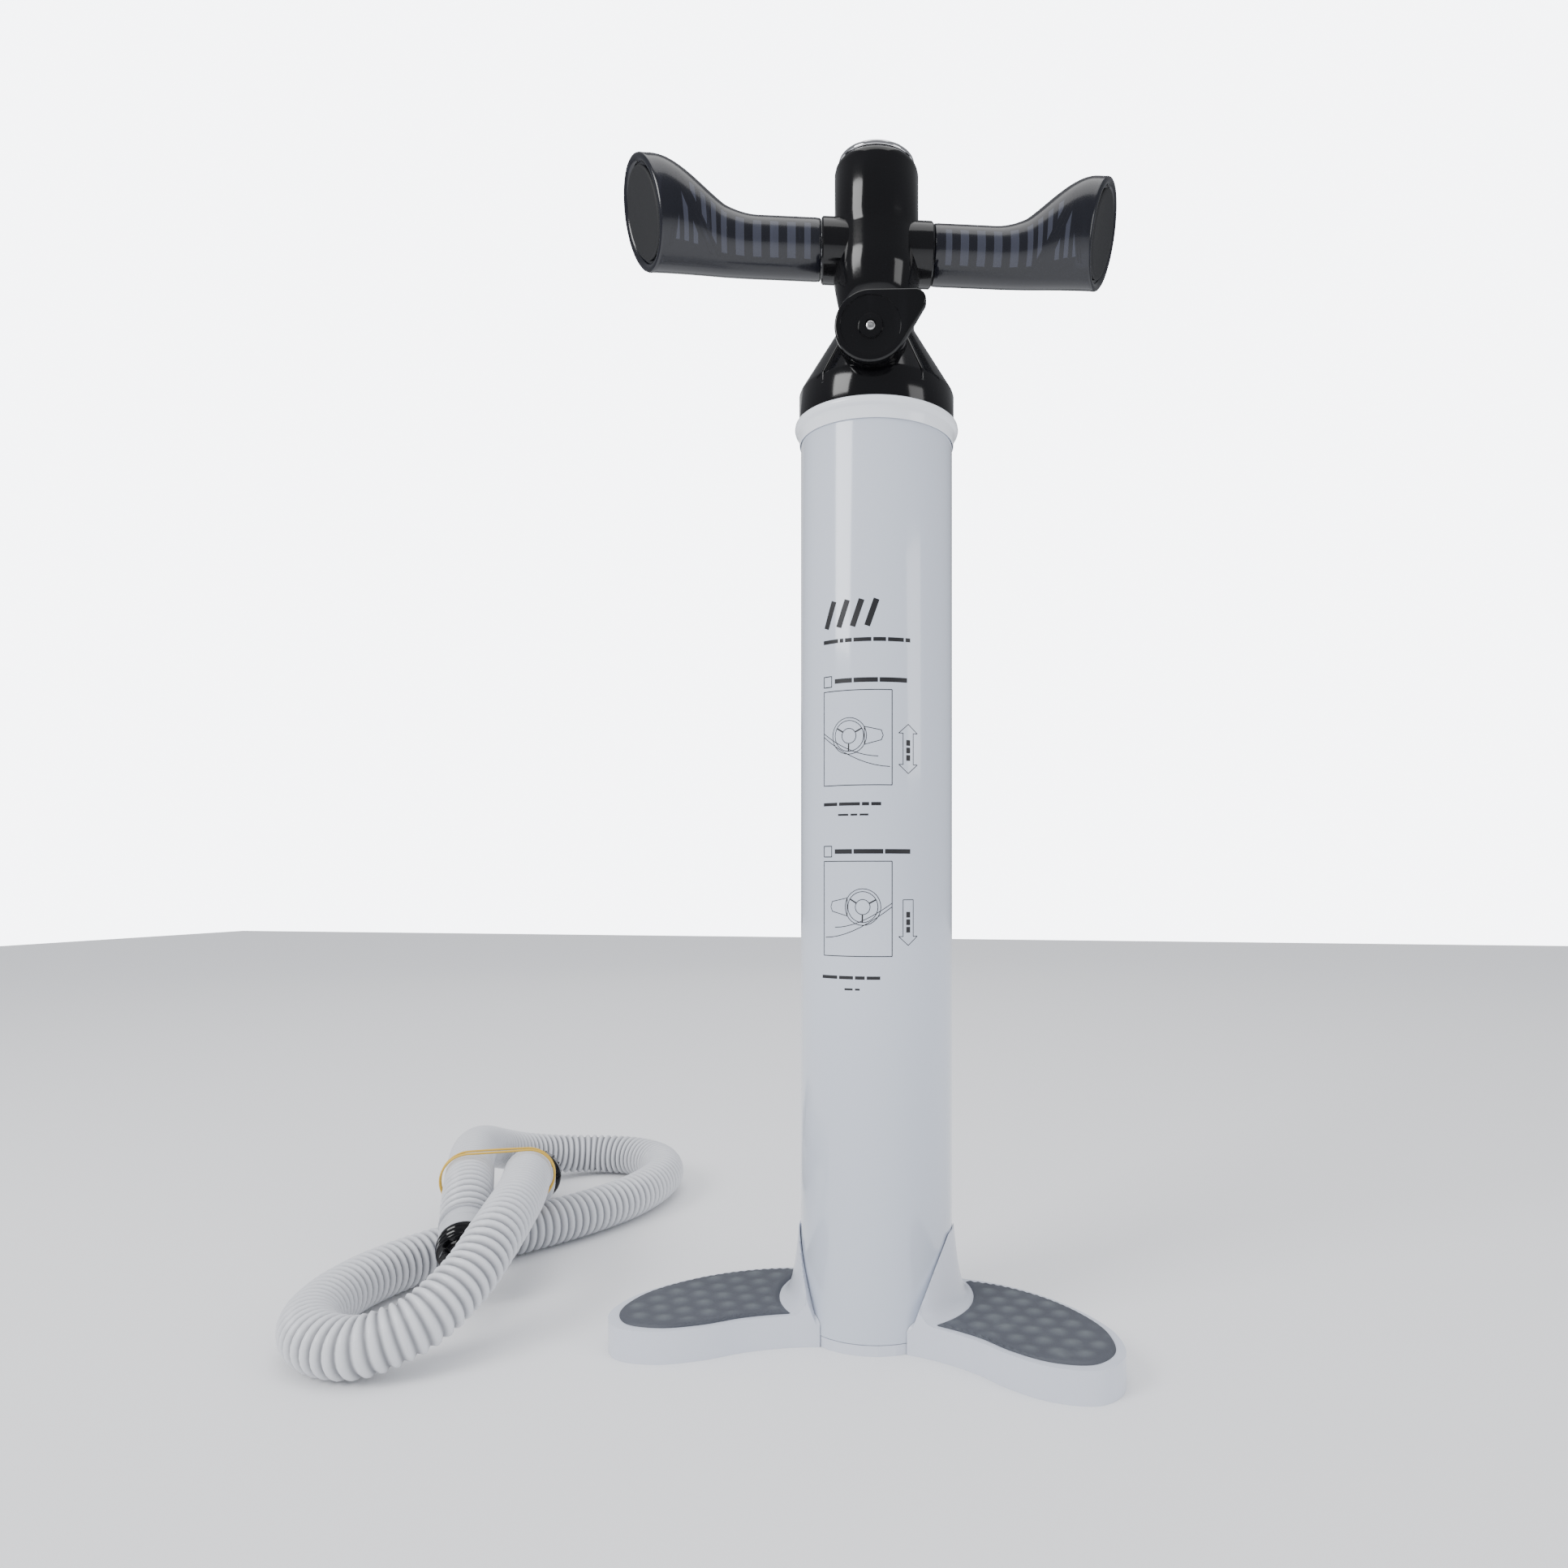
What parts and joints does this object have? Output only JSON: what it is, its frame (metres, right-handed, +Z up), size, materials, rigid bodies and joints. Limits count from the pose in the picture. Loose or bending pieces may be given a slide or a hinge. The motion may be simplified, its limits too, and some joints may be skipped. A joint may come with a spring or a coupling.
{
  "type": "double action hand pump",
  "caption": "Upright double action air pump: barrel on a two-winged foot, flared T-handle with a gauge, action selector, and a loose corrugated hose tied in a figure of eight.",
  "frame": {"origin": "centre of the base plug on the floor, on the barrel axis", "axes": "+Z up the barrel axis, -Y to the front between the foot wings, +X to the right foot wing; the cap and selector are turned 8 degrees from the front and the handle 16"},
  "size_m": [0.5219, 0.436, 0.696],
  "materials": {
    "barrel_white": "gloss",
    "foot_white": "satin",
    "pad_grey": "matte",
    "gloss_black": "gloss",
    "grip_black": "satin",
    "rubber_black": "matte",
    "rod_alloy": "satin",
    "screw_steel": "satin",
    "bezel_chrome": "polished",
    "dial_white": "matte",
    "needle_red": "satin",
    "lens_clear": "clear",
    "hose_white": "satin",
    "band_yellow": "satin"
  },
  "bodies": {
    "barrel": {"barrel_tube": "barrel_white", "barrel_collar": "foot_white", "base_plug": "foot_white", "intake_valve_flap": "rubber_black", "head_cap": "gloss_black", "head_seal": "rubber_black", "valve_plate": "foot_white", "head_valve_flap": "rubber_black", "rod_seal": "rubber_black", "rod_bush": "foot_white", "selector_seal": "rubber_black", "selector_screw": "screw_steel", "foot_wing_right": "foot_white", "foot_wing_left": "foot_white", "foot_pad_right": "pad_grey", "foot_pad_left": "pad_grey", "hose_tube": "hose_white", "hose_cuff_nut": "hose_white", "hose_cuff_nozzle": "hose_white", "hose_nozzle": "gloss_black", "tie_band_1": "band_yellow", "tie_band_2": "band_yellow", "wing_screw_left_1": "screw_steel", "wing_screw_left_2": "screw_steel", "wing_screw_right_1": "screw_steel", "wing_screw_right_2": "screw_steel"},
    "selector": {"selector_knob": "gloss_black"},
    "piston": {"piston_core": "foot_white", "piston_seal_1": "rubber_black", "piston_seal_2": "rubber_black", "piston_valve_flap": "rubber_black"},
    "handle": {"piston_rod": "rod_alloy", "handle_hub": "gloss_black", "rod_pin": "screw_steel", "handle_core": "rod_alloy", "grip_right": "grip_black", "grip_left": "grip_black", "grip_end_right": "rubber_black", "grip_end_left": "rubber_black", "gauge_case": "gloss_black", "gauge_dial": "dial_white", "gauge_bezel": "bezel_chrome", "gauge_lens": "lens_clear"},
    "needle": {"gauge_needle": "needle_red"},
    "nut": {"hose_nut": "gloss_black"}
  },
  "joints": [
    {"name": "handle_stroke", "type": "slide", "parent": "barrel", "child": "piston", "axis": [0, 0, 1], "range_m": [0, 0.445]},
    {"name": "handle_swivel", "type": "hinge", "parent": "piston", "child": "handle", "pos_m": [0, 0, 0.6], "axis": [0, 0, 1], "continuous": true},
    {"name": "selector_turn", "type": "hinge", "parent": "barrel", "child": "selector", "pos_m": [0.0071, -0.0505, 0.569], "axis": [0.1392, -0.9903, 0], "range_deg": [0, 122]},
    {"name": "gauge_needle_turn", "type": "hinge", "parent": "handle", "child": "needle", "pos_m": [0, 0, 0.679], "axis": [0, 0, -1], "range_deg": [0, 270], "stiffness_Nm_per_rad": 0.0002},
    {"name": "hose_nut_turn", "type": "hinge", "parent": "barrel", "child": "nut", "pos_m": [-0.31043, 0.15811, 0.022], "axis": [-0.4055, 0.9139, -0.0188], "continuous": true}
  ]
}
